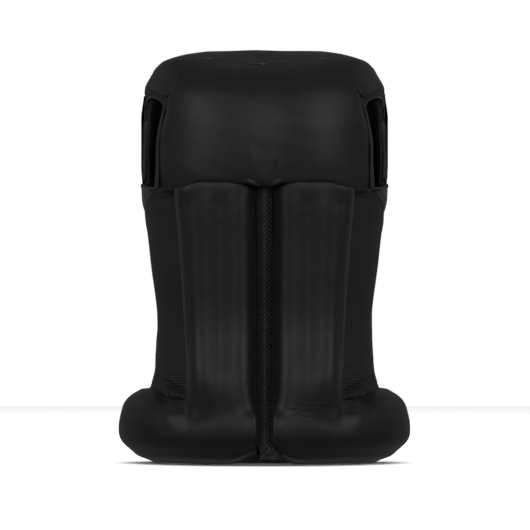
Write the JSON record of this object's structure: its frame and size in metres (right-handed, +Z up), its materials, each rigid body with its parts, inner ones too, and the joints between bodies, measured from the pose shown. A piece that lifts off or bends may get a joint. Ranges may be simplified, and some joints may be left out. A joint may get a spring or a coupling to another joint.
{
  "type": "back protector vest",
  "caption": "Inflated airbag back protector vest with spine columns, shoulder yoke, hip roll, zipped front, sensor box and gas cartridge.",
  "frame": {"origin": "on the floor under the middle of the vest: centre of its width and depth, lowest point of the hip roll", "axes": "+Z up along the spine; -Y out of the padded back; +Y out of the zipped front; -X is the wearer's left"},
  "size_m": [0.44, 0.3372, 0.62],
  "materials": {
    "cover_fabric": "smooth stretch knit, satin",
    "chamber_film": "coated film",
    "ribbed_stretch": "horizontal rib knit",
    "mesh_lining": "open mesh",
    "spacer_mesh": "hexagon spacer mesh",
    "binding_tape": "woven tape",
    "protector_foam": "perforated foam",
    "case_plastic": "fine texture",
    "board": "solder mask",
    "battery_wrap": "foil pouch",
    "button_rubber": "matt",
    "clear_window": "clear",
    "port_steel": "plain",
    "cartridge_steel": "plated",
    "manifold_alloy": "anodised",
    "lead_jacket": "matt",
    "flap_fabric": "laminated fabric",
    "zip_tape": "woven tape",
    "zip_teeth": "moulded",
    "slider_metal": "black lacquer"
  },
  "bodies": {
    "shell": {"back_lining": "mesh_lining", "bottom_hem": "binding_tape", "collar_band": "binding_tape", "dock_plug": "case_plastic", "gas_manifold": "manifold_alloy", "hanger_loop": "binding_tape", "left_armhole_facing": "binding_tape", "left_cartridge_clip": "case_plastic", "left_hip_chamber": "chamber_film", "left_hip_cover": "cover_fabric", "left_shoulder_chamber": "chamber_film", "left_shoulder_cover": "cover_fabric", "left_side_panel": "ribbed_stretch", "left_spine_chamber": "chamber_film", "left_spine_cover": "cover_fabric", "neck_roll_chamber": "chamber_film", "neck_roll_cover": "cover_fabric", "protector_plate": "protector_foam", "right_armhole_facing": "binding_tape", "right_cartridge_clip": "case_plastic", "right_hip_chamber": "chamber_film", "right_hip_cover": "cover_fabric", "right_shoulder_chamber": "chamber_film", "right_shoulder_cover": "cover_fabric", "right_side_panel": "ribbed_stretch", "right_spine_chamber": "chamber_film", "right_spine_cover": "cover_fabric", "sensor_dock": "case_plastic", "spine_mesh_strip": "spacer_mesh", "trigger_lead": "lead_jacket", "yoke_chamber": "chamber_film", "yoke_cover": "cover_fabric"},
    "left_front": {"left_chest_chamber": "chamber_film", "left_front_cover": "cover_fabric", "left_front_lining": "mesh_lining", "left_zip_chain": "zip_teeth", "left_zip_tape": "zip_tape", "zip_top_stop": "zip_teeth", "zip_bottom_box": "zip_teeth"},
    "right_front": {"right_chest_chamber": "chamber_film", "right_front_cover": "cover_fabric", "right_front_lining": "mesh_lining", "right_zip_chain": "zip_teeth", "right_zip_tape": "zip_tape", "zip_pin": "zip_teeth"},
    "slider": {"zip_slider": "slider_metal", "puller_pin": "port_steel"},
    "puller": {"zip_puller": "slider_metal"},
    "sensor_box": {"box_case": "case_plastic", "box_lid": "case_plastic", "circuit_board": "board", "battery": "battery_wrap", "light_window": "clear_window", "charging_port": "port_steel"},
    "button": {"power_button": "button_rubber"},
    "port_cover": {"port_flap": "button_rubber"},
    "flap": {"cartridge_flap": "flap_fabric"},
    "cartridge": {"gas_cartridge": "cartridge_steel"}
  },
  "joints": [
    {"name": "left_front_open", "type": "hinge", "parent": "shell", "child": "left_front", "pos_m": [-0.188, 0.025, 0.3], "axis": [0, 0, 1], "range_deg": [0, 35]},
    {"name": "right_front_open", "type": "hinge", "parent": "shell", "child": "right_front", "pos_m": [0.188, 0.025, 0.3], "axis": [0, 0, -1], "range_deg": [0, 35]},
    {"name": "zip_travel", "type": "slide", "parent": "left_front", "child": "slider", "axis": [0, 0, -1], "range_m": [0, 0.36]},
    {"name": "puller_swing", "type": "hinge", "parent": "slider", "child": "puller", "pos_m": [0, 0.1484, 0.501], "axis": [1, 0, 0], "range_deg": [0, 150]},
    {"name": "sensor_box_release", "type": "slide", "parent": "shell", "child": "sensor_box", "axis": [0, 1, 0], "range_m": [0, 0.045]},
    {"name": "power_button_press", "type": "slide", "parent": "sensor_box", "child": "button", "axis": [0, -1, 0], "range_m": [0, 0.0008], "stiffness_N_per_m": 1500},
    {"name": "port_cover_open", "type": "hinge", "parent": "sensor_box", "child": "port_cover", "pos_m": [0.03, -0.1029, 0.4848], "axis": [1, 0, 0], "range_deg": [0, 120], "stiffness_Nm_per_rad": 0.002},
    {"name": "cartridge_flap_open", "type": "hinge", "parent": "shell", "child": "flap", "pos_m": [0, -0.1026, 0.4613], "axis": [1, 0, 0], "range_deg": [0, 85]},
    {"name": "cartridge_turn", "type": "hinge", "parent": "shell", "child": "cartridge", "pos_m": [0, -0.1187, 0.444], "axis": [-1, 0, 0], "range_deg": [0, 1080]}
  ]
}
